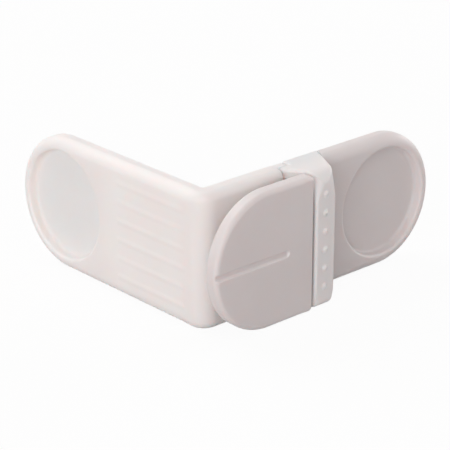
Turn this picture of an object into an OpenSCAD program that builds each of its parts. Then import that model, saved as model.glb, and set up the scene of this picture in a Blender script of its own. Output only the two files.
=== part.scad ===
// Corner cabinet safety lock: an L-shaped bracket for the drawer front,
// and a base with a latch for the cabinet side.
// X runs along the cabinet side, away from the corner; Y points into the cabinet side; Z is up.
// The origin is the centre of the base pad's adhesive face.

/* [Overall] */
// Height of the bracket, the base and the lever
height = 40; // [38:0.5:46]
// Outer corner to the round end of the front arm
front_reach = 80; // [76:1:100]
// Outer corner to the round end of the base
side_reach = 90; // [86:1:110]
// Thickness of the bracket and the base plate
plate_t = 5.2; // [5:0.1:6]
// Rounding of the plates' outer edges
edge_r = 2.4; // [0.8:0.1:2.4]
// Rounding of the plates' back edges
back_r = 0.4; // [0.1:0.1:0.8]
// Radius inside the bracket's corner
inner_corner_r = 0.4; // [0.2:0.1:3]

/* [Round dishes] */
// Radius of the dish in each round end
dish_r = 16.6; // [12:0.1:16.7]
// Depth of the dish
dish_depth = 3; // [1.2:0.1:3.2]
// Rounding of the dish's rim
dish_rim_r = 0.5; // [0.3:0.1:0.6]
// Rounding between the dish's wall and floor
dish_floor_r = 1; // [0.3:0.1:1.1]

/* [Raised lines on the front arm] */
// Number of lines
rib_count = 6; // [3:1:6]
// Spacing of the lines
rib_pitch = 5.6; // [4:0.1:5.8]
// Length of each line
rib_len = 29.5; // [20:0.5:32]
// Outer corner to the start of the lines
rib_start = 6.5; // [6.2:0.1:9]
// Radius of each line's round back
rib_r = 0.8; // [0.4:0.05:1]
// How far the lines stand out
rib_h = 0.2; // [0.15:0.05:0.4]

/* [Bracket leg and tongue] */
// Outer corner to the shoulder of the leg
leg_len = 30; // [29:0.1:33]
// Length of the tongue
tongue_len = 15.2; // [12:0.1:16]
// Thickness of the tongue
tongue_t = 2.8; // [2:0.1:3]
// Slope at the tongue's tip, which leads it into the base
tongue_lead = 1.2; // [0.4:0.1:1.6]
// Step down from the leg's edge to the tongue's edge
tongue_step = 7; // [5:0.1:9]
// Shoulder to the near wall of the catch window
window_back = 3.7; // [3:0.1:5]
// Length of the catch window along the leg
window_len = 3.6; // [3.4:0.1:4.5]
// Depth of the catch window
window_depth = 2.2; // [1.8:0.1:2.4]
// Skin left in front of the hollows in the bracket's back
core_skin = 2.4; // [1.8:0.1:3]
// Wall around those hollows
core_wall = 3; // [2:0.1:4]
// Number of hollows in the front arm
core_count = 3; // [1:1:4]

/* [Latch cap] */
// Shoulder of the leg to the cap's near side
cap_gap = 4; // [3:0.1:5]
// Width of the cap
cap_w = 8.2; // [8.1:0.1:10]
// How far the cap and the lever stand out from the base
cap_depth = 9; // [8.8:0.1:11]
// Front wall of the cap
cap_front = 1.5; // [1:0.1:1.6]
// Other walls of the cap
cap_wall = 1.2; // [0.8:0.1:1.4]
// Upright corners away from the lever, seen from the front
cap_far_r = 3; // [1:0.1:3.4]
// Upright corners beside the lever, seen from the front
cap_near_r = 1; // [0.4:0.1:1.4]
// Rounding of the cap's upright front edges
cap_edge_r = 0.8; // [0.3:0.1:1]
// Rounding of the cap's top and bottom front edges
cap_end_r = 3.2; // [1:0.1:3.4]
// Diameter of the pegs that place the cap on the base
peg_d = 0.8; // [0.6:0.1:1]
// Length of the pegs
peg_len = 1.5; // [1:0.1:1.8]

/* [Dots on the cap] */
// Number of dots
dot_count = 6; // [3:1:6]
// Spacing of the dots
dot_pitch = 5.5; // [4:0.1:5.6]
// Cap's near side to the row of dots
dot_in = 3.5; // [3:0.1:5]
// Radius of the ball that each dot is a part of
dot_ball_r = 1.05; // [0.8:0.05:1.2]
// How far the dots stand out
dot_h = 0.45; // [0.2:0.05:0.6]

/* [Release lever] */
// Length of the lever's plate
lever_len = 36.6; // [36:0.1:40]
// Thickness of the lever's plate at its rim
lever_t = 4; // [3.6:0.1:4.2]
// Gap between the lever and the cap
lever_gap = 0.8; // [0.7:0.1:1.5]
// Rounding of the lever's front edge
lever_edge_r = 1.8; // [1:0.1:2]
// Rounding of the lever's straight edge
lever_side_r = 1; // [0.4:0.1:1.2]
// Corners at the ends of that edge, seen from the front
lever_corner_r = 1.5; // [0.6:0.1:2]
// Rim wall of the lever, seen from behind
lever_wall = 1.8; // [1.2:0.1:2.4]
// Skin of the lever's front
lever_skin = 2.1; // [1.6:0.1:2.4]
// Length of the groove
groove_len = 28.7; // [20:0.1:30]
// Width of the groove
groove_w = 1.4; // [0.8:0.1:2]
// Depth of the groove
groove_depth = 0.6; // [0.3:0.1:0.9]
// Straight edge of the lever to the fingers that lift the catch
finger_back = 2.4; // [2:0.1:3]
// Length of each finger along the leg
finger_len = 2; // [1.6:0.1:2.4]
// Thickness of each finger
finger_t = 1.4; // [1:0.1:2]

/* [Hinge] */
// Diameter of the hinge pin
pin_d = 2; // [1.6:0.1:2.2]
// Radius of the lever's barrels and the base's posts
post_r = 1.85; // [1.7:0.05:2]
// Thickness of the posts along the pin
post_t = 3; // [2:0.1:3.4]
// Pin axis out from the base's face
pin_out = 5.3; // [5:0.1:5.5]
// Width of each lever arm along the pin
arm_w = 5.4; // [4:0.1:5.6]
// Thickness of each lever arm
arm_t = 1.8; // [1.4:0.1:2]

/* [Catch spring] */
// Thickness of the leaf
leaf_t = 0.4; // [0.3:0.05:0.5]
// Width of the leaf
leaf_w = 10; // [8:0.5:11]
// Leaf's underside out from the base's face
leaf_rise = 1.6; // [1.5:0.1:1.8]
// Width across the two wings that the lever lifts
wing_span = 16.4; // [15.6:0.1:16.6]
// Length of the wings along the leaf
wing_len = 2.4; // [1.6:0.1:2.6]
// How far the hook reaches into the leg
hook_depth = 1.4; // [1:0.1:1.5]
// Gap between the hook and the wall of the catch window
hook_play = 0.5; // [0.3:0.1:0.6]
// How far the hook leans towards that wall
hook_lean = 0.4; // [0.2:0.1:0.6]
// Diameter of the rivets' shanks
rivet_d = 1.6; // [1.2:0.1:1.8]
// Diameter of the rivets' heads
rivet_head_d = 2.8; // [2.4:0.1:3]
// Height of the rivets' heads
rivet_head_t = 0.6; // [0.4:0.1:0.8]
// Distance between the rivets
rivet_span = 7; // [6:0.1:7]

/* [Adhesive pads] */
// Diameter of the pads
pad_d = 34; // [26:1:37]
// Thickness of the pads
pad_t = 1; // [0.6:0.1:2]

/* [Fits] */
// Clearance of the tongue in the base
slide_clear = 0.2; // [0.15:0.05:0.3]
// Clearance of the lever round the pin
pin_clear = 0.05; // [0.02:0.01:0.1]
// Clearance of the pin and the rivets in their holes
seat_clear = 0.02; // [0.01:0.01:0.04]
// Clearance between parts that move past each other
run_clear = 0.35; // [0.3:0.05:0.45]
// Clearance of the lever's arms over the sills that they rest on
rest_clear = 0.1; // [0.05:0.05:0.2]

/* [Hidden] */
$fn = 48;
white = [0.93, 0.91, 0.90];
steel = [0.72, 0.73, 0.75];
foam = [0.86, 0.86, 0.84];
over = 1;
rim_crease = 0.08;
half_h = height / 2;
corner_r = plate_t + inner_corner_r;
front_end_y = front_reach - half_h;
base_end_x = side_reach - half_h;
cap_x0 = leg_len + cap_gap;
cap_x1 = cap_x0 + cap_w;
post_x1 = cap_x1 - cap_wall - run_clear;
pin_x = post_x1 - post_r;
base_x0 = pin_x - post_r;
tongue_top = half_h - tongue_step;
tongue_y0 = plate_t - tongue_t;
pocket_y0 = tongue_y0 - slide_clear;
pocket_x1 = leg_len + tongue_len + slide_clear;
post_z1 = half_h - cap_wall - slide_clear - run_clear;
post_z0 = post_z1 - post_t;
mouth_z = post_z0 + slide_clear / 2;
arm_z1 = post_z0 - run_clear;
arm_z0 = arm_z1 - arm_w;
lever_x1 = cap_x0 - lever_gap;
lever_x0 = lever_x1 - lever_len;
arm_y0 = -pin_out - arm_t / 2;
arm_y1 = arm_y0 + arm_t;
finger_x1 = lever_x1 - finger_back;
finger_x0 = finger_x1 - finger_len;
finger_z0 = wing_span / 2 + run_clear;
finger_z1 = finger_z0 + finger_t;
leaf_side = leaf_w / 2 + 2 * run_clear;
lip_z0 = leaf_side + run_clear;
lip_y0 = slide_clear - leaf_rise;
leaf_mid = leaf_rise + leaf_t / 2;
window_x1 = leg_len - window_back;
window_x0 = window_x1 - window_len;
hook_x = window_x1 - hook_play - leaf_t / 2;
peg_z = half_h - (half_h - post_z1 - slide_clear) / 2;

// Places a sub-part drawn from the outer corner into the part's own frame
module placed() {
    translate([-base_end_x, -plate_t - pad_t, 0]) children();
}

// Section of a plate: outer face on x = 0, with its outer and back edges rounded
module plate_section(t, r) {
    translate([r, -half_h]) square([t - r - back_r, height]);
    translate([0, -half_h + r]) square([t, height - 2 * r]);
    translate([r, -half_h + back_r]) square([t - r, height - 2 * back_r]);
    for (side = [-1, 1]) {
        translate([r, side * (half_h - r)]) circle(r);
        translate([t - back_r, side * (half_h - back_r)]) circle(back_r);
    }
}

// Half section of a round end: outer face on y = 0, with its outer and back edges rounded
module end_section(t, r) {
    translate([0, r]) square([half_h, t - r - back_r]);
    square([half_h - r, t]);
    translate([0, r]) square([half_h - back_r, t - r]);
    translate([half_h - r, r]) circle(r);
    translate([half_h - back_r, t - back_r]) circle(back_r);
}

// Sweeps a section along X from x = 0: the section's x becomes Y, its y becomes Z
module along_x(length) {
    rotate([90, 0, 90]) linear_extrude(length) children();
}

// Sweeps a section along Y from y = 0: the section's y becomes -Z
module along_y(length) {
    rotate([-90, 0, 0]) linear_extrude(length) children();
}

// A box between two corners
module block(low, high) {
    translate(low) cube(high - low);
}

// A bar along Z, round in the XY plane
module upright(x, y, r, z0, z1) {
    translate([x, y, z0]) cylinder(r = r, h = z1 - z0);
}

// What is cut away to round an edge along the extrusion, with its corner at the section's origin
module edge_cut(r) {
    difference() {
        translate([-over, -over]) square([r + over, r + over]);
        translate([r, r]) circle(r);
    }
}

// Half section of a dish, measured down from the outer face
module dish_section() {
    rim_sink = dish_rim_r - rim_crease;
    translate([0, -over]) square([dish_r, over + dish_depth - dish_floor_r]);
    translate([0, -over]) square([dish_r - dish_floor_r, over + dish_depth]);
    translate([dish_r - dish_floor_r, dish_depth - dish_floor_r]) circle(dish_floor_r);
    difference() {
        translate([dish_r - dish_floor_r, -over]) square([dish_floor_r + dish_rim_r, over + rim_sink]);
        translate([dish_r + dish_rim_r, rim_sink]) circle(dish_rim_r);
    }
}

// A bar with ball ends, along Z
module capsule(r, length) {
    rotate_extrude() {
        translate([0, r]) square([r, length - 2 * r]);
        for (end = [r, length - r]) {
            intersection() {
                translate([0, end]) circle(r);
                translate([0, end - r]) square([r, 2 * r]);
            }
        }
    }
}

// Outline of a row of hollows in a plate's back, with walls between them
module cores(length, count) {
    step = (length + core_wall) / count;
    for (i = [0 : count - 1]) {
        translate([i * step, 0]) square([step - core_wall, height - 2 * core_wall]);
    }
}

// Plan of the tongue, with its sloped tip
module tongue_outline() {
    tip_x = leg_len + tongue_len;
    root_x = leg_len - over;
    polygon([[root_x, tongue_y0], [tip_x - tongue_lead, tongue_y0], [tip_x, tongue_y0 + tongue_lead],
        [tip_x, plate_t], [root_x, plate_t]]);
}

module corner_bracket() {
    arm_run = front_end_y - corner_r;
    rib_x = rib_r - rib_h;
    core_start = corner_r + core_wall;
    front_core_end = front_end_y - pad_d / 2 - core_wall;
    leg_core_end = window_x0 - core_wall;
    color(white) placed() difference() {
        union() {
            translate([corner_r, corner_r, 0]) {
                rotate([0, 0, 180]) rotate_extrude(angle = 90) translate([corner_r, 0]) mirror([1, 0])
                    plate_section(plate_t, edge_r);
                translate([0, -corner_r, 0]) along_x(leg_len - corner_r) plate_section(plate_t, edge_r);
                translate([-corner_r, 0, 0]) along_y(arm_run) plate_section(plate_t, edge_r);
                translate([-corner_r, arm_run, 0]) rotate([0, 90, 0]) rotate_extrude(angle = 180)
                    end_section(plate_t, edge_r);
            }
            linear_extrude(2 * tongue_top, center = true) tongue_outline();
            for (i = [0 : rib_count - 1]) {
                translate([rib_x, rib_start, (i - (rib_count - 1) / 2) * rib_pitch])
                    rotate([-90, 0, 0]) capsule(rib_r, rib_len);
            }
        }
        translate([0, front_end_y, 0]) rotate([0, 90, 0]) rotate_extrude() dish_section();
        block([window_x0, -over, -leaf_side], [window_x1, window_depth, leaf_side]);
        translate([core_skin, core_start, -half_h + core_wall]) rotate([90, 0, 90])
            linear_extrude(plate_t) cores(front_core_end - core_start, core_count);
        translate([core_start, plate_t + core_skin, -half_h + core_wall]) rotate([90, 0, 0])
            linear_extrude(plate_t) cores(leg_core_end - core_start, 1);
    }
}

module front_pad() {
    color(foam) placed() translate([plate_t, front_end_y, 0]) rotate([0, 90, 0])
        cylinder(d = pad_d, h = pad_t);
}

module base_plate() {
    base_run = base_end_x - cap_x1;
    color(white) placed() difference() {
        union() {
            translate([cap_x1, 0, 0]) {
                mirror([1, 0, 0]) along_x(cap_w) translate([0, -half_h]) square([plate_t, height]);
                along_x(base_run) plate_section(plate_t, edge_r);
                translate([base_run, 0, 0]) rotate([0, -90, -90]) rotate_extrude(angle = 180)
                    end_section(plate_t, edge_r);
            }
            block([base_x0, -leaf_rise, -leaf_side], [post_x1, over, leaf_side]);
            for (side = [-1, 1]) {
                z0 = side > 0 ? post_z0 : -post_z1;
                block([base_x0, -pin_out, z0], [post_x1, over, z0 + post_t]);
                upright(pin_x, -pin_out, post_r, z0, z0 + post_t);
            }
        }
        translate([base_end_x, 0, 0]) rotate([-90, 0, 0]) rotate_extrude() dish_section();
        block([cap_x0 - over, pocket_y0, -tongue_top - slide_clear],
            [pocket_x1, plate_t + over, tongue_top + slide_clear]);
        for (side = [0, 1]) mirror([0, 0, side]) {
            translate([cap_x0, plate_t + over, -half_h]) rotate([90, 0, 0])
                linear_extrude(plate_t + 2 * over) edge_cut(cap_near_r);
        }
        upright(pin_x, -pin_out, pin_d / 2 + seat_clear, -half_h, half_h);
        for (side = [-1, 1]) {
            translate([pin_x, pocket_y0 + over, side * rivet_span / 2]) rotate([90, 0, 0])
                cylinder(d = rivet_d + 2 * seat_clear, h = plate_t + leaf_rise);
            translate([pin_x, -over, side * peg_z]) rotate([-90, 0, 0])
                cylinder(d = peg_d + 2 * seat_clear, h = over + peg_len + seat_clear);
        }
    }
}

module latch_cap() {
    inner_z = post_z1 + slide_clear;
    inner_x1 = cap_x1 - cap_wall;
    inner_y = -cap_depth + cap_front;
    color(white) placed() {
        difference() {
            translate([cap_x0, -cap_depth, 0]) along_x(cap_w) plate_section(cap_depth + plate_t, cap_end_r);
            block([cap_x0 - over, 0, -height], [cap_x1 + over, 2 * plate_t, height]);
            block([cap_x0 + cap_wall, inner_y, -inner_z], [inner_x1, plate_t, inner_z]);
            block([cap_x0 - over, inner_y, -mouth_z], [inner_x1, arm_y1 + rest_clear, mouth_z]);
            block([cap_x0 - over, inner_y, -leaf_side], [inner_x1, plate_t, leaf_side]);
            for (side = [0, 1]) mirror([0, 0, side]) {
                translate([cap_x1, plate_t, -half_h]) rotate([90, -90, 0]) linear_extrude(2 * height)
                    edge_cut(cap_far_r);
                translate([cap_x0, plate_t, -half_h]) rotate([90, 0, 0]) linear_extrude(2 * height)
                    edge_cut(cap_near_r);
            }
            translate([cap_x0, -cap_depth, -height]) linear_extrude(2 * height) edge_cut(cap_edge_r);
            translate([cap_x1, -cap_depth, -height]) rotate([0, 0, 90]) linear_extrude(2 * height)
                edge_cut(cap_edge_r);
        }
        for (i = [0 : dot_count - 1]) {
            dot_z = (i - (dot_count - 1) / 2) * dot_pitch;
            translate([cap_x0 + dot_in, dot_ball_r - dot_h - cap_depth, dot_z]) sphere(dot_ball_r);
        }
        for (side = [-1, 1]) {
            translate([pin_x, -cap_wall, side * peg_z]) rotate([-90, 0, 0])
                cylinder(d = peg_d, h = cap_wall + peg_len);
        }
    }
}

module release_lever() {
    mid_x = lever_x0 + half_h;
    pocket_r = half_h - lever_wall;
    inner_y = -cap_depth + lever_skin;
    groove_x1 = lever_x0 + groove_len - groove_w / 2;
    color(white) placed() difference() {
        union() {
            difference() {
                translate([mid_x, -cap_depth, 0]) {
                    along_x(lever_len - half_h) plate_section(lever_t, lever_edge_r);
                    rotate([0, 90, 90]) rotate_extrude(angle = 180) end_section(lever_t, lever_edge_r);
                }
                block([mid_x, inner_y, -pocket_r], [lever_x1 - lever_wall, 0, pocket_r]);
                translate([mid_x, inner_y, 0]) rotate([-90, 0, 0]) cylinder(r = pocket_r, h = lever_t);
                block([lever_x0 - over, -cap_depth - over, -groove_w / 2],
                    [groove_x1, -cap_depth + groove_depth, groove_w / 2]);
                translate([groove_x1, -cap_depth - over, 0]) rotate([-90, 0, 0])
                    cylinder(d = groove_w, h = over + groove_depth);
                translate([lever_x1, -cap_depth, -height]) rotate([0, 0, 90]) linear_extrude(2 * height)
                    edge_cut(lever_side_r);
                for (side = [0, 1]) mirror([0, 0, side]) {
                    translate([lever_x1, 0, -half_h]) rotate([90, -90, 0]) linear_extrude(2 * height)
                        edge_cut(lever_corner_r);
                }
            }
            for (side = [0, 1]) mirror([0, 0, side]) {
                block([mid_x, inner_y - lever_skin / 2, arm_z0],
                    [lever_x1 - lever_wall / 2, arm_y1, arm_z1]);
                block([lever_x1 - lever_wall, arm_y0, arm_z0], [pin_x, arm_y1, arm_z1]);
                upright(pin_x, -pin_out, post_r, arm_z0, arm_z1);
                block([finger_x0, inner_y - lever_skin / 2, finger_z0], [finger_x1, -run_clear, finger_z1]);
                block([finger_x0, lip_y0, lip_z0], [finger_x1, -run_clear, finger_z1]);
            }
        }
        upright(pin_x, -pin_out, pin_d / 2 + pin_clear, -half_h, half_h);
    }
}

module hinge_pin() {
    color(steel) placed() upright(pin_x, -pin_out, pin_d / 2, -post_z1, post_z1);
}

// One straight stretch of the bent leaf, with a round joint at its start
module leaf_run(from, to) {
    run = to - from;
    translate(from) circle(d = leaf_t);
    translate(from) rotate(atan2(run[1], run[0])) translate([0, -leaf_t / 2]) square([norm(run), leaf_t]);
}

module catch_spring() {
    bend_x = hook_x - hook_lean;
    tip = [hook_x, hook_depth - leaf_t / 2];
    lead = [hook_x - window_len, -leaf_mid - leaf_t];
    wing_x = (finger_x0 + finger_x1 - wing_len) / 2;
    color(steel) placed() difference() {
        union() {
            linear_extrude(leaf_w, center = true) {
                leaf_run([bend_x, -leaf_mid], [post_x1, -leaf_mid]);
                leaf_run(tip, [bend_x, -leaf_mid]);
                leaf_run(lead, tip);
            }
            block([wing_x, -leaf_rise - leaf_t, -wing_span / 2],
                [wing_x + wing_len, -leaf_rise, wing_span / 2]);
        }
        for (side = [-1, 1]) {
            translate([pin_x, 0, side * rivet_span / 2]) rotate([90, 0, 0])
                cylinder(d = rivet_d + 2 * seat_clear, h = 2 * leaf_rise);
        }
    }
}

module spring_rivets() {
    head_y = -leaf_rise - leaf_t;
    color(steel) placed() for (side = [-1, 1]) {
        translate([pin_x, pocket_y0, side * rivet_span / 2]) rotate([90, 0, 0]) {
            cylinder(d = rivet_d, h = pocket_y0 - head_y + leaf_t);
            translate([0, 0, pocket_y0 - head_y]) cylinder(d = rivet_head_d, h = rivet_head_t);
        }
    }
}

module base_pad() {
    color(foam) placed() translate([base_end_x, plate_t, 0]) rotate([-90, 0, 0])
        cylinder(d = pad_d, h = pad_t);
}

corner_bracket();
front_pad();
base_plate();
latch_cap();
release_lever();
hinge_pin();
catch_spring();
spring_rivets();
base_pad();
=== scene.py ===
"""Looks of a corner cabinet safety lock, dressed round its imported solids.

Each moulded piece is a formula for the distance to its surface, in millimetres from the bracket's
outer corner: x runs along the cabinet side, y into it and z up. A fine net is laid on that surface.
"""

import math

import bpy
import numpy as np
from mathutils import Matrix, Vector

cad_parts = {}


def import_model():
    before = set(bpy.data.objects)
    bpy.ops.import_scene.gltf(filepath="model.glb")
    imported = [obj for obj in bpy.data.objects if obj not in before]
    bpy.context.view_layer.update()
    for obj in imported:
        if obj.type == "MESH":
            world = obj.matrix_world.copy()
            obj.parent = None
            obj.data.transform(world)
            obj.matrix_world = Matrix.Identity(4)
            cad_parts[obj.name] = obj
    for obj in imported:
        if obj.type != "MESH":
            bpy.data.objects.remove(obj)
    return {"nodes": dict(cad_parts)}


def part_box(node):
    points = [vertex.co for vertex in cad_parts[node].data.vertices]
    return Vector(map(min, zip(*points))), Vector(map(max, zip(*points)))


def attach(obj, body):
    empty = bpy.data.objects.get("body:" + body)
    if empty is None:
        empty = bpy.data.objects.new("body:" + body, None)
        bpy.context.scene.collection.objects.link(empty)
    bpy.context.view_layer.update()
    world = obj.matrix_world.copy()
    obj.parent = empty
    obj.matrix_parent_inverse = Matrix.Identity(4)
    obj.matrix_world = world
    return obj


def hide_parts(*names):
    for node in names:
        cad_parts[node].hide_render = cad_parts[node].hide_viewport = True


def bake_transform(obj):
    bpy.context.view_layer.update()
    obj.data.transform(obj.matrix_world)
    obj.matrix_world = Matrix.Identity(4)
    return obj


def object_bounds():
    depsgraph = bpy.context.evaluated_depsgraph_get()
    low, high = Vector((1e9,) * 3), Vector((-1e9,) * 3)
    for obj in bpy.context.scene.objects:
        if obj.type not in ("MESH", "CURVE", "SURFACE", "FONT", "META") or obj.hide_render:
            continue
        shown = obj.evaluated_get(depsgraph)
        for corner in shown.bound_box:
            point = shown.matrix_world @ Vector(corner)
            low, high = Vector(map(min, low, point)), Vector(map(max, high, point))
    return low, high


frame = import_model()
cad_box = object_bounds()

MM = 0.001


def node_box(node):
    """Lowest and highest corner of a CAD node, in millimetres in the part's frame."""
    low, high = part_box(node)
    return np.array(low) / MM, np.array(high) / MM


def from_corner(node):
    """Lowest and highest corner of a CAD node, in millimetres from the bracket's outer corner."""
    low, high = node_box(node)
    return low - CORNER, high - CORNER


# Plates, in millimetres
PLATE_T = 5.2
EDGE_R = 3.2
BACK_R = 0.4
CORNER_R = 5.6
SOFT_R = 0.3
CORE_R = 2 * SOFT_R
DISH_R = 16.2
DISH_DEPTH = 3.0
DISH_RIM_R = 0.8
DISH_FLOOR_R = 1.0

# Hinge posts on the base
POST_R = 1.85
POST_T = 3.0

# Places that the frame gives, counted from the bracket's outer corner
CORNER = np.array([node_box("front_pad")[0][0] - PLATE_T, node_box("base_pad")[0][1] - PLATE_T, 0.0])
bracket_low, bracket_high = from_corner("corner_bracket")
front_pad_low, front_pad_high = from_corner("front_pad")
base_low, base_high = from_corner("base_plate")
base_pad_low, base_pad_high = from_corner("base_pad")
cap_low, cap_high = from_corner("latch_cap")
lever_low, lever_high = from_corner("release_lever")
pin_low, pin_high = from_corner("hinge_pin")
spring_low, spring_high = from_corner("catch_spring")
HALF_H = bracket_high[2]
FRONT_END_Y = (front_pad_low[1] + front_pad_high[1]) / 2
BASE_END_X = (base_pad_low[0] + base_pad_high[0]) / 2
PAD_R = (base_pad_high[0] - base_pad_low[0]) / 2
PAD_T = base_pad_high[1] - base_pad_low[1]
CAP_X0, CAP_X1 = cap_low[0], cap_high[0]
LEVER_X0 = lever_low[0]
FRONT_Y = lever_low[1]
PIN_X, PIN_Y = (pin_low[:2] + pin_high[:2]) / 2
PIN_R = (pin_high[0] - pin_low[0]) / 2
POST_X0, POST_X1 = PIN_X - POST_R, PIN_X + POST_R
POST_Z1 = pin_high[2]
POST_Z0 = POST_Z1 - POST_T

# Clearances
SLIDE_CLEAR = 0.2
PIN_CLEAR = 0.05
SEAT_CLEAR = 0.02
RUN_CLEAR = 0.35
REST_CLEAR = 0.1

# Raised lines on the front arm
RIB_COUNT = 6
RIB_PITCH = 5.6
RIB_START = 6.5
RIB_LEN = 29.5
RIB_HALF_W = 1.4
RIB_END = 1.5
RIB_H = 0.13

# Bracket leg and tongue
LEG_LEN = 30.0
LEG_EDGE_R = 2.6
LEG_EASE = 2 * PLATE_T  # from the corner along the arm, where the edges get rounder
TONGUE_T = 2.8
TONGUE_STEP = 7.0
TONGUE_LEAD = 1.2
TONGUE_X1 = bracket_high[0]
TONGUE_Y0 = PLATE_T - TONGUE_T
TONGUE_TOP = HALF_H - TONGUE_STEP
SHOULDER_STEP = 0.15  # how far the shoulder behind the leg's end stays below its edges
SHOULDER_X1 = CAP_X0 - REST_CLEAR
WINDOW_X0 = 22.7
WINDOW_X1 = 26.3
WINDOW_DEPTH = 2.2
CORE_SKIN = 2.4
CORE_WALL = 3.0
CORE_COUNT = 3

# Latch cap and its dots
CAP_FRONT = 1.5
CAP_WALL = 1.2
CAP_FAR_R = 2.4
CAP_FAR_EASE_Y = 2 * FRONT_Y  # from here to the base's back, the far edges get sharper
CAP_NEAR_R = 1.0
CAP_EDGE_R = 0.8
CAP_TOP_R = 4.2
CAP_LOW_R = 2.4
CAP_INSET = 0.9  # how far the front's far edge stays behind the solid's
CAP_DRAFT = 0.44  # how far the far side leans out on each millimetre of depth
SEAM = 0.4  # how far the cap's foot goes into the base
SEAM_STEP = 0.03  # how far the base stays behind the cap's faces
SKIRT_T = 0.8
EAR_REACH = 3.9
PEG_R = 0.4
PEG_LEN = 1.5
DOT_COUNT = 6
DOT_PITCH = 5.5
DOT_IN = 3.5
DOT_BALL_R = 1.05
DOT_H = 0.45

# Release lever
LEVER_GAP = 0.8
LEVER_T = 4.0
LEVER_EDGE_R = 1.4
LEVER_BLUNT = 1.03  # shortens the round end a little
LEVER_SIDE_R = 1.0
LEVER_EASE = HALF_H / 4  # before the straight side, where the front edge gets sharper
LEVER_CORNER_R = 1.5
LEVER_WALL = 1.8
LEVER_SKIN = 2.1
LEVER_X1 = CAP_X0 - LEVER_GAP
GROOVE_LEN = 27.2
GROOVE_W = 1.8
GROOVE_DEPTH = 0.7
GROOVE_FLOOR_R = 0.6
ARM_W = 5.4
ARM_T = 1.8
FINGER_BACK = 2.4
FINGER_LEN = 2.0
FINGER_T = 1.4

# Catch spring and rivets
LEAF_T = 0.4
LEAF_W = 10.0
LEAF_RISE = 1.6
WING_LEN = 2.4
WING_SPAN = spring_high[2] - spring_low[2]
HOOK_DEPTH = 1.4
HOOK_PLAY = 0.5
HOOK_LEAN = 0.4
RIVET_R = 0.8
RIVET_SPAN = 7.0

# Places worked out from those sizes
MID_X = LEVER_X0 + HALF_H
INNER_Y = FRONT_Y + LEVER_SKIN
ARM_Z1 = POST_Z0 - RUN_CLEAR
ARM_Z0 = ARM_Z1 - ARM_W
ARM_Y0, ARM_Y1 = PIN_Y - ARM_T / 2, PIN_Y + ARM_T / 2
LEAF_SIDE = LEAF_W / 2 + 2 * RUN_CLEAR
FINGER_X1 = LEVER_X1 - FINGER_BACK
FINGER_X0 = FINGER_X1 - FINGER_LEN
FINGER_Z0 = WING_SPAN / 2 + RUN_CLEAR
FINGER_Z1 = FINGER_Z0 + FINGER_T
LIP_Z0 = LEAF_SIDE + RUN_CLEAR
LIP_Y0 = SLIDE_CLEAR - LEAF_RISE
POCKET_Y0 = TONGUE_Y0 - SLIDE_CLEAR
POCKET_X1 = TONGUE_X1 + SLIDE_CLEAR
CAP_INNER_X1 = CAP_X1 - CAP_WALL
CAP_INNER_Y = FRONT_Y + CAP_FRONT
CAP_INNER_Z = POST_Z1 + SLIDE_CLEAR
MOUTH_Z = POST_Z0 + SLIDE_CLEAR / 2
PEG_Z = (HALF_H + CAP_INNER_Z) / 2
FAR = 60.0  # past each face that a cut runs out of


# Distance formulas: below zero inside a shape, above zero outside it

def length(*parts):
    """Length of a vector, from its parts."""
    return np.sqrt(sum(part * part for part in parts))


def both(a, b, r):
    """What two shapes share, with the edge between them rounded."""
    return np.minimum(-r, np.maximum(a, b)) + length(np.maximum(a + r, 0), np.maximum(b + r, 0))


def joined(a, b, r):
    """Two shapes together, with a fillet where they meet."""
    return -both(-a, -b, r)


def cut(a, b, r):
    """One shape less another, with the edge between them rounded."""
    return both(a, -b, r)


def box(x, y, z, low, high, r=SOFT_R):
    """A box between two corners, with its edges rounded."""
    q = [np.abs(v - (a + b) / 2) - (b - a) / 2 + r for v, a, b in zip((x, y, z), low, high)]
    inside = np.minimum(np.maximum(np.maximum(q[0], q[1]), q[2]), 0)
    return length(*(np.maximum(v, 0) for v in q)) + inside - r


def rod(a, b, r, along, start, end, edge_r):
    """A round bar: a and b count from its axis, along from its start to its end."""
    return both(length(a, b) - r, np.maximum(start - along, along - end), edge_r)


def nearest_row(v, count, pitch):
    """Distance from the nearest of a centred row of places."""
    middle = (count - 1) / 2
    return v - (np.clip(np.round(v / pitch + middle), 0, count - 1) - middle) * pitch


def ease(v, start, end):
    """A smooth step from 0 at start to 1 at end."""
    t = np.clip((v - start) / (end - start), 0, 1)
    return t * t * (3 - 2 * t)


def plate(depth, side, edge_r, lift=0.0):
    """A plate: depth counts from its outer face, side from its middle line; lift raises that face."""
    return both(both(-depth - lift, side - HALF_H, edge_r), depth - PLATE_T, BACK_R)


def dish(depth, reach):
    """The round hollow in a plate's end: reach counts from its centre."""
    return both(reach - DISH_R, depth - DISH_DEPTH, DISH_FLOOR_R)


def bracket_depth(x, y):
    """Depth below the bracket's outer face, carried round its corner."""
    qx, qy = CORNER_R - x, CORNER_R - y
    round_depth = CORNER_R - length(np.maximum(qx, 0), np.maximum(qy, 0))
    return np.where((qx > 0) | (qy > 0), round_depth, np.minimum(x, y))


def raised_lines(y, z):
    """Height of the fine lines on the front arm."""
    end = RIB_START + RIB_LEN
    along = ease(y, RIB_START, RIB_START + RIB_END) * (1 - ease(y, end - RIB_END, end))
    return RIB_H * along * (1 - ease(np.abs(nearest_row(z, RIB_COUNT, RIB_PITCH)), 0, RIB_HALF_W))


def bracket_cores():
    """Corners of the hollows in the bracket's back: a row behind the arm, then one behind the leg."""
    core_z = HALF_H - CORE_WALL
    core_start = PLATE_T + BACK_R + CORE_WALL
    step = (FRONT_END_Y - PAD_R - core_start) / CORE_COUNT
    for i in range(CORE_COUNT):
        start = core_start + i * step
        yield (CORE_SKIN, start, -core_z), (FAR, start + step - CORE_WALL, core_z)
    yield (core_start, CORE_SKIN, -core_z), (WINDOW_X0 - CORE_WALL, FAR, core_z)


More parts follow.
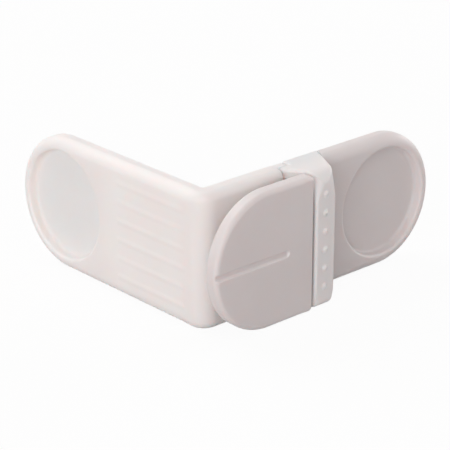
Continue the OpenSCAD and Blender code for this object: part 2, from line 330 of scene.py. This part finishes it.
def bracket_shape(x, y, z):
    """The L-shaped bracket: the front arm, the corner, the leg and the tongue."""
    side = length(np.maximum(y - FRONT_END_Y, 0), z)
    edge_r = LEG_EDGE_R + (EDGE_R - LEG_EDGE_R) * ease(y, 0, LEG_EASE)
    shape = both(plate(bracket_depth(x, y), side, edge_r, raised_lines(y, z)), x - LEG_LEN, SOFT_R)
    shoulder_z = HALF_H - SHOULDER_STEP
    shoulder = box(x, y, z, (LEG_LEN - EDGE_R, TONGUE_Y0, -shoulder_z), (SHOULDER_X1, PLATE_T, shoulder_z))
    shape = np.minimum(shape, shoulder)
    tongue = box(x, y, z, (LEG_LEN - EDGE_R, TONGUE_Y0, -TONGUE_TOP), (TONGUE_X1, PLATE_T, TONGUE_TOP))
    slope = (x - y - TONGUE_X1 + TONGUE_LEAD + TONGUE_Y0) / math.sqrt(2)
    shape = np.minimum(shape, both(tongue, slope, SOFT_R))
    shape = cut(shape, dish(x, length(y - FRONT_END_Y, z)), DISH_RIM_R)
    window = box(x, y, z, (WINDOW_X0, -FAR, -LEAF_SIDE), (WINDOW_X1, WINDOW_DEPTH, LEAF_SIDE))
    shape = cut(shape, window, SOFT_R)
    for low, high in bracket_cores():
        shape = cut(shape, box(x, y, z, low, high, CORE_R), SOFT_R)
    return shape


def cap_far_side(x, y):
    """The latch cap's far side, which leans out towards the base's back."""
    return (x - CAP_X1 + CAP_INSET - CAP_DRAFT * (y - FRONT_Y)) / math.hypot(1, CAP_DRAFT)


def base_shape(x, y, z):
    """The base plate with its dish, the hinge posts, the leaf's seat and the tongue's channel."""
    side = length(np.maximum(x - BASE_END_X, 0), z)
    height = np.abs(z)
    far_side = cap_far_side(x, y)
    near_side = CAP_X0 + SEAM_STEP - x
    shape = np.maximum(plate(y, side, EDGE_R), near_side)
    under_cap = np.maximum(np.maximum(far_side, height - HALF_H), np.maximum(-y, y - PLATE_T))
    shape = np.minimum(shape, np.maximum(under_cap, near_side))
    skirt = np.maximum(far_side - SEAM_STEP, HALF_H - SKIRT_T - SEAM_STEP - height)
    shape = np.maximum(shape, -skirt)
    seat = box(x, y, z, (POST_X0, -LEAF_RISE, -LEAF_SIDE), (POST_X1, PLATE_T / 2, LEAF_SIDE))
    shape = joined(shape, seat, SOFT_R)
    shape = cut(shape, dish(y, length(x - BASE_END_X, z)), DISH_RIM_R)
    post = box(x, y, height, (POST_X0, PIN_Y, POST_Z0), (POST_X1, PLATE_T / 2, POST_Z1))
    eye = rod(x - PIN_X, y - PIN_Y, POST_R, height, POST_Z0, POST_Z1, SOFT_R)
    shape = joined(shape, np.minimum(post, eye), SOFT_R)
    channel_z = TONGUE_TOP + SLIDE_CLEAR
    channel = box(x, y, z, (-FAR, POCKET_Y0, -channel_z), (POCKET_X1, FAR, channel_z))
    shape = cut(shape, channel, SOFT_R)
    shape = np.maximum(shape, PIN_R + SEAT_CLEAR - length(x - PIN_X, y - PIN_Y))
    rivet_hole = length(x - PIN_X, height - RIVET_SPAN / 2) - RIVET_R - SEAT_CLEAR
    peg_hole = np.maximum(length(x - PIN_X, height - PEG_Z) - PEG_R - SEAT_CLEAR, y - POCKET_Y0)
    return np.maximum(shape, np.maximum(-rivet_hole, -peg_hole))


def cap_ears(x, y, height):
    """The latch cap's upper and lower ear, which close the gap to the leg."""
    y0, y1 = FRONT_Y + LEVER_T + RUN_CLEAR, TONGUE_Y0 - SLIDE_CLEAR
    lean = EAR_REACH / (y1 - y0)
    face = (CAP_X0 - lean * (y - y0) - x) / math.hypot(1, lean)
    ears = np.maximum(both(face, height - HALF_H, CAP_NEAR_R), MOUTH_Z + SOFT_R - height)
    return np.maximum(ears, np.maximum(y - y1, x - CAP_X0 - CAP_WALL))


def cap_hollow(x, y, z):
    """The space in the latch cap for the posts, the lever's arms and the leaf."""
    height = np.abs(z)
    hollow = box(x, y, z, (CAP_X0 + CAP_WALL, CAP_INNER_Y, -MOUTH_Z), (CAP_INNER_X1, FAR, MOUTH_Z))
    well_r = POST_R + SLIDE_CLEAR
    eye_well = rod(x - PIN_X, y - PIN_Y, well_r, height, 0, CAP_INNER_Z, SOFT_R)
    post_well = box(x, y, height, (PIN_X - well_r, PIN_Y, 0), (PIN_X + well_r, FAR, CAP_INNER_Z))
    hollow = np.minimum(hollow, np.minimum(eye_well, post_well))
    mouth = box(x, y, z, (-FAR, CAP_INNER_Y, -MOUTH_Z), (CAP_INNER_X1, ARM_Y1 + REST_CLEAR, MOUTH_Z))
    throat = box(x, y, z, (-FAR, CAP_INNER_Y, -LEAF_SIDE), (CAP_INNER_X1, FAR, LEAF_SIDE))
    return np.minimum(np.minimum(hollow, mouth), throat)


def cap_shape(x, y, z):
    """The latch cap: an upright bar over the posts, with its skirt, ears, dots and pegs."""
    height = np.abs(z)
    far_r = SOFT_R + (CAP_FAR_R - SOFT_R) * (1 - ease(y, CAP_FAR_EASE_Y, PLATE_T))
    far_side = both(cap_far_side(x, y), height - HALF_H, far_r)
    near_side = both(CAP_X0 - x, height - HALF_H, CAP_NEAR_R)
    end_r = np.where(z > 0, CAP_TOP_R, CAP_LOW_R)
    edge_r = CAP_EDGE_R + (end_r - CAP_EDGE_R) * ease(height, HALF_H - 2 * end_r, HALF_H)
    block = both(np.maximum(far_side, near_side), FRONT_Y - y, edge_r)
    skirt = np.maximum(y - PLATE_T, HALF_H - SKIRT_T - height)
    shape = np.maximum(block, np.minimum(y - SEAM, skirt))
    shape = np.minimum(shape, cap_ears(x, y, height))
    shape = cut(shape, cap_hollow(x, y, z), SOFT_R / 2)
    dot_y = y - FRONT_Y - DOT_BALL_R + DOT_H
    dot = length(x - CAP_X0 - DOT_IN, dot_y, nearest_row(z, DOT_COUNT, DOT_PITCH)) - DOT_BALL_R
    peg = rod(x - PIN_X, height - PEG_Z, PEG_R, y, -CAP_WALL, PEG_LEN, PEG_R / 2)
    return np.minimum(joined(shape, dot, SOFT_R), peg)


def lever_shape(x, y, z):
    """The D-shaped lever, hollow behind, with two arms on the pin and two fingers at the leaf's wings."""
    side = length(np.maximum(MID_X - x, 0) * LEVER_BLUNT, z)
    height = np.abs(z)
    outline = both(side - HALF_H, x - LEVER_X1, LEVER_CORNER_R)
    edge_r = LEVER_EDGE_R + (LEVER_SIDE_R - LEVER_EDGE_R) * ease(x, LEVER_X1 - LEVER_EASE, LEVER_X1)
    shape = both(both(outline, FRONT_Y - y, edge_r), y - FRONT_Y - LEVER_T, BACK_R)
    rim = both(side - HALF_H + LEVER_WALL, x - LEVER_X1 + LEVER_WALL, LEVER_CORNER_R)
    shape = cut(shape, both(rim, INNER_Y - y, CORE_R), SOFT_R)
    groove_x1 = LEVER_X0 + GROOVE_LEN - GROOVE_W / 2
    groove = length(np.maximum(x - groove_x1, 0), z) - GROOVE_W / 2
    shape = cut(shape, both(groove, y - FRONT_Y - GROOVE_DEPTH, GROOVE_FLOOR_R), SOFT_R)
    skin_y = INNER_Y - LEVER_SKIN / 2
    web = box(x, y, height, (MID_X, skin_y, ARM_Z0), (LEVER_X1 - LEVER_WALL / 2, ARM_Y1, ARM_Z1))
    arm = box(x, y, height, (LEVER_X1 - LEVER_WALL, ARM_Y0, ARM_Z0), (PIN_X, ARM_Y1, ARM_Z1))
    barrel = rod(x - PIN_X, y - PIN_Y, POST_R, height, ARM_Z0, ARM_Z1, SOFT_R)
    finger = box(x, y, height, (FINGER_X0, skin_y, FINGER_Z0), (FINGER_X1, -RUN_CLEAR, FINGER_Z1))
    lip = box(x, y, height, (FINGER_X0, LIP_Y0, LIP_Z0), (FINGER_X1, -RUN_CLEAR, FINGER_Z1))
    carrier = np.minimum(np.minimum(web, arm), barrel)
    shape = joined(joined(shape, carrier, SOFT_R), np.minimum(finger, lip), SOFT_R)
    return np.maximum(shape, PIN_R + PIN_CLEAR - length(x - PIN_X, y - PIN_Y))


# Nets on those formulas

GRADIENT_STEP = 0.01
LEAST_STEEPNESS = 0.25
PROJECTIONS = 4
CELL_CORNERS = [(i, j, k) for i in (0, 1) for j in (0, 1) for k in (0, 1)]


def gradient(shape, points):
    """Direction in which the distance grows, at each point."""
    x, y, z = points.T
    e = GRADIENT_STEP
    return np.stack([
        shape(x + e, y, z) - shape(x - e, y, z),
        shape(x, y + e, z) - shape(x, y - e, z),
        shape(x, y, z + e) - shape(x, y, z - e),
    ], axis=1) / (2 * e)


def on_surface(shape, points):
    """The points moved onto the shape's surface."""
    for _ in range(PROJECTIONS):
        slope = gradient(shape, points)
        steep = np.maximum((slope * slope).sum(axis=1), LEAST_STEEPNESS)
        points = points - slope * (shape(*points.T) / steep)[:, None]
    return points


def crossings(values, cells):
    """For each cell, the sum of the places where its edges cross the surface, and their number."""
    total, hits = np.zeros((len(cells), 3)), np.zeros(len(cells))
    for start in CELL_CORNERS:
        for axis in range(3):
            if start[axis]:
                continue
            end = list(start)
            end[axis] = 1
            a = values[tuple((cells + start).T)]
            b = values[tuple((cells + end).T)]
            hit = (a < 0) != (b < 0)
            share = np.where(hit, a / np.where(hit, a - b, 1), 0)
            place = cells + np.array(start, float)
            place[:, axis] += share
            total += np.where(hit[:, None], place, 0)
            hits += hit
    return total, hits[:, None]


def net_faces(inside, index):
    """Four-sided faces, one across each edge of the grid that crosses the surface, turned outwards."""
    faces = []
    for axis in range(3):
        order = (axis, (axis + 1) % 3, (axis + 2) % 3)
        first = np.moveaxis(inside, order, (0, 1, 2))[:, 1:-1, 1:-1]
        cell = np.moveaxis(index, order, (0, 1, 2))
        ring = [cell[:, :-1, :-1], cell[:, 1:, :-1], cell[:, 1:, 1:], cell[:, :-1, 1:]]
        leaving = first[:-1] & ~first[1:]
        entering = ~first[:-1] & first[1:]
        faces.append(np.stack([side[leaving] for side in ring], axis=1))
        faces.append(np.stack([side[entering] for side in reversed(ring)], axis=1))
    return np.concatenate(faces).tolist()


def net(shape, low, high, step):
    """Corners and faces of a closed net on the shape, with one corner in each cell that it crosses."""
    counts = np.ceil((high - low) / step).astype(int)
    axes = [low[i] + step * np.arange(counts[i] + 1) for i in range(3)]
    values = shape(*np.meshgrid(*axes, indexing="ij", sparse=True))
    inside = values < 0
    filled = np.zeros(counts, np.int8)
    for corner in CELL_CORNERS:
        filled += inside[tuple(slice(o, o + n) for o, n in zip(corner, counts))]
    crossed = (filled > 0) & (filled < len(CELL_CORNERS))
    cells = np.argwhere(crossed)
    index = np.full(counts, -1)
    index[crossed] = np.arange(len(cells))
    total, hits = crossings(values, cells)
    return on_surface(shape, low + step * total / hits), net_faces(inside, index)


def mesh_object(name, points, faces):
    """A new object with its corners given in millimetres from the bracket's outer corner."""
    mesh = bpy.data.meshes.new(name)
    mesh.from_pydata((np.asarray(points) + CORNER) * MM, [], faces)
    mesh.shade_smooth()
    piece = bpy.data.objects.new(name, mesh)
    bpy.context.scene.collection.objects.link(piece)
    return piece


def corner_places(mesh):
    """A mesh's corners, in millimetres from the bracket's outer corner."""
    corners = np.empty(len(mesh.vertices) * 3)
    mesh.vertices.foreach_get("co", corners)
    return corners.reshape(-1, 3) / MM - CORNER


def net_object(name, shape, low, high, step, keep):
    """A new object: a net on the shape, thinned where it is flat, with the shape's own normals."""
    points, faces = net(shape, low, high, step)
    piece = mesh_object(name, points, faces)
    thin = piece.modifiers.new("thin", "DECIMATE")
    thin.ratio = keep
    depsgraph = bpy.context.evaluated_depsgraph_get()
    mesh = bpy.data.meshes.new_from_object(piece.evaluated_get(depsgraph))
    piece.modifiers.clear()
    piece.data = mesh
    corners = on_surface(shape, corner_places(mesh))
    mesh.vertices.foreach_set("co", ((corners + CORNER) * MM).ravel())
    normals = gradient(shape, corners)
    normals /= np.linalg.norm(normals, axis=1)[:, None]
    mesh.shade_smooth()
    mesh.normals_split_custom_set_from_vertices(normals)
    mesh.update()
    return piece


def ring_faces(rings):
    """Faces from each ring of corners to the next, where a ring of one corner is a point."""
    faces = []
    for low, high in zip(rings, rings[1:]):
        sides = max(len(low), len(high))
        for i in range(sides):
            j = (i + 1) % sides
            if len(low) == 1:
                faces.append((low[0], high[j], high[i]))
            elif len(high) == 1:
                faces.append((low[i], low[j], high[0]))
            else:
                faces.append((low[i], low[j], high[j], high[i]))
    return faces


# Materials: scales of textures in cells per metre, heights of bumps in metres

TEXTURE_LOW, TEXTURE_HIGH = 0.3, 0.7  # the middle of a texture's values, spread over a whole range
NOISE_DETAIL = 3
DRIFT_SCALE = 45
DRIFT = 0.015
SATIN_SCALE = 160
SATIN_ROUGHNESS = (0.40, 0.50)
FLOW_SCALE = 90
FLOW_DETAIL = 1
FLOW_STRENGTH = 0.10
FLOW_H = 0.0001
GRAIN_SCALE = 5200
GRAIN_DETAIL = 2
GRAIN_STRENGTH = 0.08
GRAIN_H = 0.00002
PLASTIC_IOR = 1.48
BLEED_WEIGHT = 0.8
BLEED_REACH = (1.0, 0.75, 0.68)
STEEL_STRETCH = (1, 1, 0.04)
STEEL_SCALE = 9000
STEEL_DETAIL = 4
STEEL_SHADES = (0.52, 0.53, 0.55), (0.68, 0.68, 0.70)
STEEL_ROUGHNESS = (0.24, 0.40)
STEEL_STRENGTH = 0.15
STEEL_H = 0.00002
PORE_SCALE = 2600
PORE_STRENGTH = 0.5
PORE_H = 0.0001
FOAM_SCALE = 400
FOAM_SHADES = (0.70, 0.70, 0.68), (0.84, 0.84, 0.82)
FOAM_ROUGHNESS = (0.75, 0.92)


def new_material(name):
    """A material with its node tree, shader and coordinates fixed to the piece."""
    material = bpy.data.materials.new(name)
    material.use_nodes = True
    tree = material.node_tree
    shader = tree.nodes["Principled BSDF"]
    place = tree.nodes.new("ShaderNodeTexCoord").outputs["Object"]
    return material, tree, shader, place


def set_inputs(node, values):
    """Sets a node's inputs by their names."""
    for name, value in values.items():
        node.inputs[name].default_value = value


def link_surface(tree, shader, colour, roughness, normal):
    """Links what varies over a surface to its shader."""
    for value, name in ((colour, "Base Color"), (roughness, "Roughness"), (normal, "Normal")):
        tree.links.new(value, shader.inputs[name])


def noise(tree, place, scale, detail=NOISE_DETAIL):
    """Soft noise over a surface."""
    texture = tree.nodes.new("ShaderNodeTexNoise")
    set_inputs(texture, {"Scale": scale, "Detail": detail})
    tree.links.new(place, texture.inputs["Vector"])
    return texture.outputs["Fac"]


def spread(tree, value, low, high):
    """A texture's value mapped onto a range of roughness."""
    node = tree.nodes.new("ShaderNodeMapRange")
    set_inputs(node, {"From Min": TEXTURE_LOW, "From Max": TEXTURE_HIGH, "To Min": low, "To Max": high})
    tree.links.new(value, node.inputs["Value"])
    return node.outputs["Result"]


def two_tone(tree, value, shades):
    """A colour that drifts between two shades, as a texture's value does."""
    ramp = tree.nodes.new("ShaderNodeValToRGB")
    for stop, position, shade in zip(ramp.color_ramp.elements, (TEXTURE_LOW, TEXTURE_HIGH), shades):
        stop.position = position
        stop.color = (*shade, 1)
    tree.links.new(value, ramp.inputs["Fac"])
    return ramp.outputs["Color"]


def bump(tree, height, strength, distance, under=None):
    """Small bumps, laid over other bumps where those are given."""
    node = tree.nodes.new("ShaderNodeBump")
    set_inputs(node, {"Strength": strength, "Distance": distance})
    tree.links.new(height, node.inputs["Height"])
    if under:
        tree.links.new(under, node.inputs["Normal"])
    return node.outputs["Normal"]


def plastic(name, shade, tint, bleed):
    """Satin white moulded plastic, a little warm, with faint flow marks and a fine spark-eroded grain; a
    lowered shade or a pinker tint given here is painted shade.
    """
    material, tree, shader, place = new_material(name)
    shades = [[drift * shade * v for v in tint] for drift in (1 - DRIFT, 1 + DRIFT)]
    colour = two_tone(tree, noise(tree, place, DRIFT_SCALE), shades)
    roughness = spread(tree, noise(tree, place, SATIN_SCALE), *SATIN_ROUGHNESS)
    flow = bump(tree, noise(tree, place, FLOW_SCALE, FLOW_DETAIL), FLOW_STRENGTH, FLOW_H)
    grain = bump(tree, noise(tree, place, GRAIN_SCALE, GRAIN_DETAIL), GRAIN_STRENGTH, GRAIN_H, flow)
    link_surface(tree, shader, colour, roughness, grain)
    set_inputs(shader, {"IOR": PLASTIC_IOR, "Subsurface Weight": BLEED_WEIGHT,
                        "Subsurface Radius": BLEED_REACH, "Subsurface Scale": bleed})
    return material


def steel():
    """Spring steel with fine drawn lines along z."""
    material, tree, shader, place = new_material("spring_steel")
    stretch = tree.nodes.new("ShaderNodeMapping")
    set_inputs(stretch, {"Scale": STEEL_STRETCH})
    tree.links.new(place, stretch.inputs["Vector"])
    lines = noise(tree, stretch.outputs["Vector"], STEEL_SCALE, STEEL_DETAIL)
    link_surface(tree, shader, two_tone(tree, lines, STEEL_SHADES), spread(tree, lines, *STEEL_ROUGHNESS),
                 bump(tree, lines, STEEL_STRENGTH, STEEL_H))
    set_inputs(shader, {"Metallic": 1.0})
    return material


def foam():
    """Closed-cell foam tape with small pores."""
    material, tree, shader, place = new_material("foam_tape")
    cells = tree.nodes.new("ShaderNodeTexVoronoi")
    set_inputs(cells, {"Scale": PORE_SCALE})
    tree.links.new(place, cells.inputs["Vector"])
    pores = cells.outputs["Distance"]
    roughness = spread(tree, noise(tree, place, FOAM_SCALE), *FOAM_ROUGHNESS)
    link_surface(tree, shader, two_tone(tree, pores, FOAM_SHADES), roughness,
                 bump(tree, pores, PORE_STRENGTH, PORE_H))
    return material


BRACKET_WHITE = plastic("bracket_white", shade=0.92, tint=(1.0, 0.955, 0.938), bleed=0.003)
# The cap's tint is a little pinker than the bracket's, as painted shade on its shaded front.
CAP_WHITE = plastic("cap_white", shade=0.92, tint=(1.0, 0.945, 0.935), bleed=0.0015)
# The lever's and base's plastic is the bracket's white made darker and pinker: painted shade for fronts
# that face away from the key light.
SHADED_WHITE = plastic("shaded_white", shade=0.8, tint=(1.0, 0.94, 0.932), bleed=0.0015)
STEEL, FOAM = steel(), foam()


def dress(piece, material, slot, *nodes):
    """Gives a piece its material and lets it stand for its CAD nodes; the slot is not used."""
    piece.data.materials.clear()
    piece.data.materials.append(material)
    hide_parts(*nodes)
    return piece


# Moulded pieces: step is the net's, in millimetres, and keep the share of its faces that stays

MARGIN = 0.9
EAR_ROOM = np.array([EAR_REACH, 0, 0])
SKIRT_ROOM = np.array([CAP_DRAFT * (PLATE_T - FRONT_Y), PLATE_T, 0])


def mould(name, shape, low, high, step, keep, material, body, node):
    """Makes a moulded piece within two corners, and lets it ride on its body."""
    piece = net_object(name, shape, low - MARGIN, high + MARGIN, step, keep)
    dress(piece, material, "white_plastic", node)
    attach(piece, body)


mould("bracket_moulding", bracket_shape, bracket_low, bracket_high, step=0.4, keep=0.4,
      material=BRACKET_WHITE, body="strap", node="corner_bracket")
mould("base_moulding", base_shape, base_low, base_high, step=0.35, keep=0.4,
      material=SHADED_WHITE, body="base", node="base_plate")
mould("cap_moulding", cap_shape, cap_low - EAR_ROOM, cap_high + SKIRT_ROOM, step=0.25, keep=0.5,
      material=CAP_WHITE, body="base", node="latch_cap")
mould("lever_moulding", lever_shape, lever_low, lever_high, step=0.28, keep=0.4,
      material=SHADED_WHITE, body="lever", node="release_lever")


# Foam pads

PAD_SIDES = 96
PAD_RIM_STEPS = 6
PAD_RIM_IN = 0.04
PAD_EDGE = 0.25
PAD_BULGE = 0.12


def pad_profile():
    """Radius and rise along a pad's surface, from the middle of one face to the middle of the other."""
    face = [0.0, PAD_R / 2, PAD_R - PAD_EDGE]
    profile = [(radius, 0.0) for radius in face]
    for i in range(PAD_RIM_STEPS + 1):
        t = i / PAD_RIM_STEPS
        radius = PAD_R - PAD_BULGE + PAD_BULGE * math.sin(math.pi * t)
        profile.append((radius, PAD_T * (PAD_RIM_IN + (1 - 2 * PAD_RIM_IN) * t)))
    return profile + [(radius, PAD_T) for radius in reversed(face)]


def pad(name, node, body, centre, axis):
    """Makes a foam disc cut from tape, with a rim that bulges a little: axis is x, 0, or y, 1."""
    points, rings = [], []
    for radius, rise in pad_profile():
        turns = PAD_SIDES if radius else 1
        rings.append([len(points) + i for i in range(turns)])
        for i in range(turns):
            angle = math.tau * i / PAD_SIDES
            u, v = radius * math.cos(angle), radius * math.sin(angle)
            points.append((rise, u, v) if axis == 0 else (v, rise, u))
    piece = mesh_object(name, np.array(points) + np.array(centre), ring_faces(rings))
    dress(piece, FOAM, "foam_tape", node)
    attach(piece, body)


pad("front_foam", "front_pad", "strap", centre=(PLATE_T, FRONT_END_Y, 0), axis=0)
pad("base_foam", "base_pad", "base", centre=(BASE_END_X, PLATE_T, 0), axis=1)


# Catch spring

BEND_STEPS = 6
BEND_R = 0.5
WING_STEP = 0.2
ROOT_STATIONS = 9


def rounded_path(points):
    """A line through the points, with its bends rounded."""
    path = [np.array(points[0], float)]
    for before, at, after in zip(points, points[1:], points[2:]):
        at = np.array(at, float)
        back, ahead = np.array(before) - at, np.array(after) - at
        start = at + back / np.linalg.norm(back) * BEND_R
        end = at + ahead / np.linalg.norm(ahead) * BEND_R
        for i in range(BEND_STEPS + 1):
            t = i / BEND_STEPS
            path.append((1 - t) ** 2 * start + 2 * t * (1 - t) * at + t * t * end)
    path.append(np.array(points[-1], float))
    return path


def leaf_stations():
    """Places along the leaf from its hook to its root, each with half of the leaf's width there."""
    middle_y = -LEAF_RISE - LEAF_T / 2
    hook_x = WINDOW_X1 - HOOK_PLAY - LEAF_T / 2
    lead = (hook_x - (WINDOW_X1 - WINDOW_X0), middle_y - LEAF_T)
    tip = (hook_x, HOOK_DEPTH - LEAF_T / 2)
    path = rounded_path([lead, tip, (hook_x - HOOK_LEAN, middle_y), (POST_X1, middle_y)])
    half, wing_half = LEAF_W / 2, WING_SPAN / 2
    wing_x0 = (FINGER_X0 + FINGER_X1 - WING_LEN) / 2
    wing_x1 = wing_x0 + WING_LEN
    stations = [(point, half) for point in path[:-1]]
    for x, width in [(wing_x0, half), (wing_x0, wing_half), (wing_x1, wing_half), (wing_x1, half)]:
        stations.append((np.array([x, middle_y]), width))
    past_wings = np.array([wing_x1 + WING_STEP, middle_y])
    for share in np.linspace(0, 1, ROOT_STATIONS):
        stations.append((past_wings * (1 - share) + path[-1] * share, half))
    return stations


def leaf_spring():
    """The bent steel leaf with its hook and its two wings, as a band of even thickness."""
    stations = leaf_stations()
    points, rings = [], []
    for i, (at, width) in enumerate(stations):
        ahead = stations[min(i + 1, len(stations) - 1)][0] - stations[max(i - 1, 0)][0]
        normal = np.array([-ahead[1], ahead[0]]) / np.linalg.norm(ahead) * LEAF_T / 2
        section = [(normal, -width), (normal, width), (-normal, width), (-normal, -width)]
        rings.append([len(points) + j for j in range(len(section))])
        points += [(*(at + offset), z) for offset, z in section]
    faces = ring_faces(rings) + [rings[0][::-1], rings[-1]]
    piece = mesh_object("leaf_spring", points, faces)
    piece.data.shade_flat()
    return dress(piece, STEEL, "spring_steel", "catch_spring")


leaf = leaf_spring()
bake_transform(leaf)


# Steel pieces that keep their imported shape

for node in ("hinge_pin", "spring_rivets"):
    solid = frame["nodes"][node]
    solid.data.materials.clear()
    solid.data.materials.append(STEEL)


# Floor, light and camera, in metres

FLOOR_SIZE = 3.0
FLOOR_COLOUR = (0.95, 0.95, 0.95, 1)
FLOOR_BOUNCE = (0.53, 0.51, 0.51, 1)
FLOOR_GLOW = 0.94
AMBIENT = (1.0, 0.95, 0.945, 1)
AMBIENT_STRENGTH = 0.42
BACKDROP = (1, 1, 1, 1)
KEY_FROM, KEY_STRENGTH = Vector((-0.9, -0.42, 0.12)), 2.0
TOP_FROM, TOP_STRENGTH = Vector((0, 0.7, 0.65)), 1.1
FILL_FROM, FILL_STRENGTH = Vector((1, -0.08, 0.15)), 1.3
LIGHT_SPREAD = math.radians(50)
CAMERA_AZIMUTH = math.radians(-42.18)
CAMERA_ELEVATION = math.radians(22.44)
CAMERA_DISTANCE = 0.5416
CAMERA_TARGET = Vector((-0.0503, 0.00619, 0.00296))
CAMERA_NEAR = 0.01
SENSOR_MM = 36
FOCAL_PIXELS = 1963
IMAGE_PIXELS = 450


def seen_directly(tree):
    """1 for what the camera, a reflection or a see-through part shows."""
    path = tree.nodes.new("ShaderNodeLightPath")
    value = path.outputs["Is Camera Ray"]
    for name in ("Is Glossy Ray", "Is Transmission Ray"):
        either = tree.nodes.new("ShaderNodeMath")
        either.operation = "MAXIMUM"
        tree.links.new(value, either.inputs[0])
        tree.links.new(path.outputs[name], either.inputs[1])
        value = either.outputs["Value"]
    return value


def mixed(tree, first, second):
    """A node that mixes two shaders."""
    mix = tree.nodes.new("ShaderNodeMixShader")
    tree.links.new(first, mix.inputs[1])
    tree.links.new(second, mix.inputs[2])
    return mix


def light_and_show(tree, lighting, shown, output):
    """Lights the part by one shader, and shows the other one where it is seen."""
    mix = mixed(tree, lighting, shown)
    tree.links.new(seen_directly(tree), mix.inputs["Fac"])
    tree.links.new(mix.outputs["Shader"], tree.nodes[output].inputs["Surface"])


def matt(tree, colour):
    """A matt shader."""
    shader = tree.nodes.new("ShaderNodeBsdfDiffuse")
    set_inputs(shader, {"Color": colour})
    return shader.outputs["BSDF"]


def floor():
    """Lays a pale floor under the part, which shows the part's shadow."""
    half = FLOOR_SIZE / 2
    level = cad_box[0].z
    corners = [(-half, -half, level), (half, -half, level), (half, half, level), (-half, half, level)]
    mesh = bpy.data.meshes.new("floor")
    mesh.from_pydata(corners, [], [(0, 1, 2, 3)])
    piece = bpy.data.objects.new("floor", mesh)
    bpy.context.scene.collection.objects.link(piece)
    material = bpy.data.materials.new("floor_paper")
    material.use_nodes = True
    tree = material.node_tree
    tree.nodes.remove(tree.nodes["Principled BSDF"])
    white = tree.nodes.new("ShaderNodeEmission")
    paper = mixed(tree, matt(tree, FLOOR_COLOUR), white.outputs["Emission"])
    set_inputs(paper, {"Fac": FLOOR_GLOW})
    light_and_show(tree, matt(tree, FLOOR_BOUNCE), paper.outputs["Shader"], "Material Output")
    mesh.materials.append(material)


def world():
    """Surrounds the part with soft light and a white backdrop."""
    sky = bpy.data.worlds.new("studio")
    sky.use_nodes = True
    tree = sky.node_tree
    ambient = tree.nodes["Background"]
    set_inputs(ambient, {"Color": AMBIENT, "Strength": AMBIENT_STRENGTH})
    white = tree.nodes.new("ShaderNodeBackground")
    set_inputs(white, {"Color": BACKDROP})
    light_and_show(tree, ambient.outputs["Background"], white.outputs["Background"], "World Output")
    bpy.context.scene.world = sky


def facing_from(direction):
    """Rotation of a lamp or camera that looks back along a direction."""
    return direction.to_track_quat("Z", "Y").to_euler()


def soft_light(name, come_from, strength):
    """Adds a wide, soft lamp."""
    lamp = bpy.data.lights.new(name, "SUN")
    lamp.energy = strength
    lamp.angle = LIGHT_SPREAD
    light = bpy.data.objects.new(name, lamp)
    light.rotation_euler = facing_from(come_from)
    bpy.context.scene.collection.objects.link(light)


def camera():
    """Adds the camera, turned round its target by azimuth and elevation."""
    data = bpy.data.cameras.new("camera")
    data.sensor_width = SENSOR_MM
    data.lens = SENSOR_MM * FOCAL_PIXELS / IMAGE_PIXELS
    data.clip_start = CAMERA_NEAR
    back = Vector((math.sin(CAMERA_AZIMUTH) * math.cos(CAMERA_ELEVATION),
                   -math.cos(CAMERA_AZIMUTH) * math.cos(CAMERA_ELEVATION),
                   math.sin(CAMERA_ELEVATION)))
    eye = bpy.data.objects.new("camera", data)
    eye.location = CAMERA_TARGET + back * CAMERA_DISTANCE
    eye.rotation_euler = facing_from(back)
    bpy.context.scene.collection.objects.link(eye)
    bpy.context.scene.camera = eye


floor()
world()
soft_light("key", KEY_FROM, KEY_STRENGTH)
soft_light("top", TOP_FROM, TOP_STRENGTH)
soft_light("fill", FILL_FROM, FILL_STRENGTH)
camera()
bpy.context.scene.view_settings.view_transform = "Standard"
